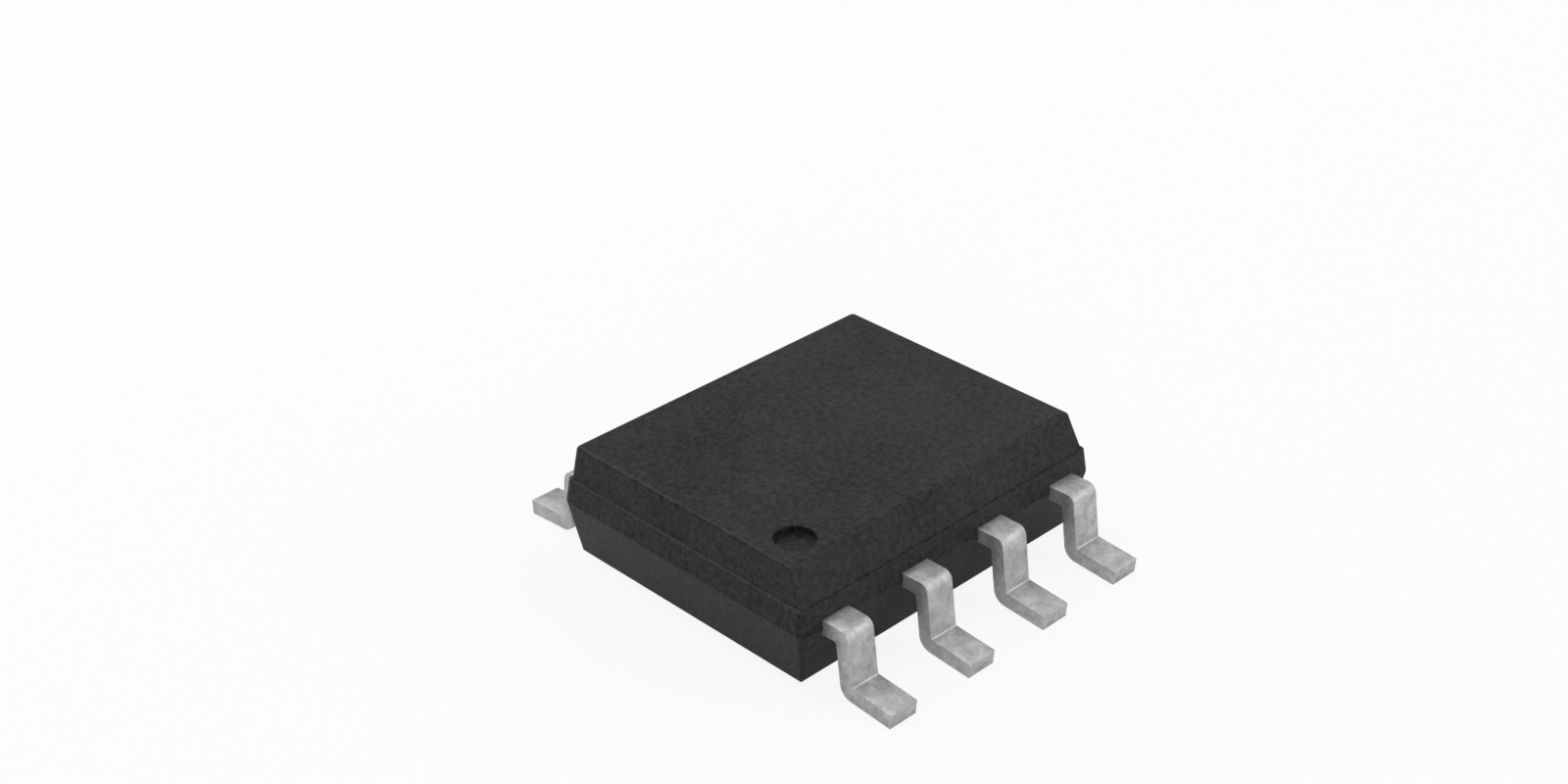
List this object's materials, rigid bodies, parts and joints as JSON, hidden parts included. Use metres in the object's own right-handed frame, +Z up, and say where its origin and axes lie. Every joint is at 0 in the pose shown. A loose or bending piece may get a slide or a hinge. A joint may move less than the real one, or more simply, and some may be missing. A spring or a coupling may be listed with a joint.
{
  "type": "soic chip",
  "caption": "Narrow small-outline integrated circuit: black moulded body with a bevelled side and pin-1 dimple on two rows of gull-wing leads, for surface mounting.",
  "frame": {"origin": "on the seating plane, midway between the two rows of leads and midway along the body", "axes": "+Z up out of the board; +X along the body, away from the pin-1 end; leads 1 to 4 stand on the -Y side from -X to +X and leads 5 to 8 on the +Y side on the way back"},
  "size_m": [0.0048, 0.006, 0.0016],
  "materials": {
    "mould_compound": "black silica-filled epoxy with a fine spark-eroded mould texture",
    "tin_plate": "copper alloy strip with matt tin plating",
    "frame_copper": "etched copper alloy strip, bare",
    "die_adhesive": "silver-filled epoxy, cured",
    "silicon": "sawn silicon, dark grey",
    "gold_wire": "drawn gold wire, bright"
  },
  "bodies": {
    "root": {"moulded_body": "mould_compound", "lead_1": "tin_plate", "lead_2": "tin_plate", "lead_3": "tin_plate", "lead_4": "tin_plate", "lead_5": "tin_plate", "lead_6": "tin_plate", "lead_7": "tin_plate", "lead_8": "tin_plate", "die_paddle": "frame_copper", "die_attach": "die_adhesive", "silicon_die": "silicon", "bond_wire_1": "gold_wire", "bond_wire_2": "gold_wire", "bond_wire_3": "gold_wire", "bond_wire_4": "gold_wire", "bond_wire_5": "gold_wire", "bond_wire_6": "gold_wire", "bond_wire_7": "gold_wire", "bond_wire_8": "gold_wire"}
  },
  "joints": []
}
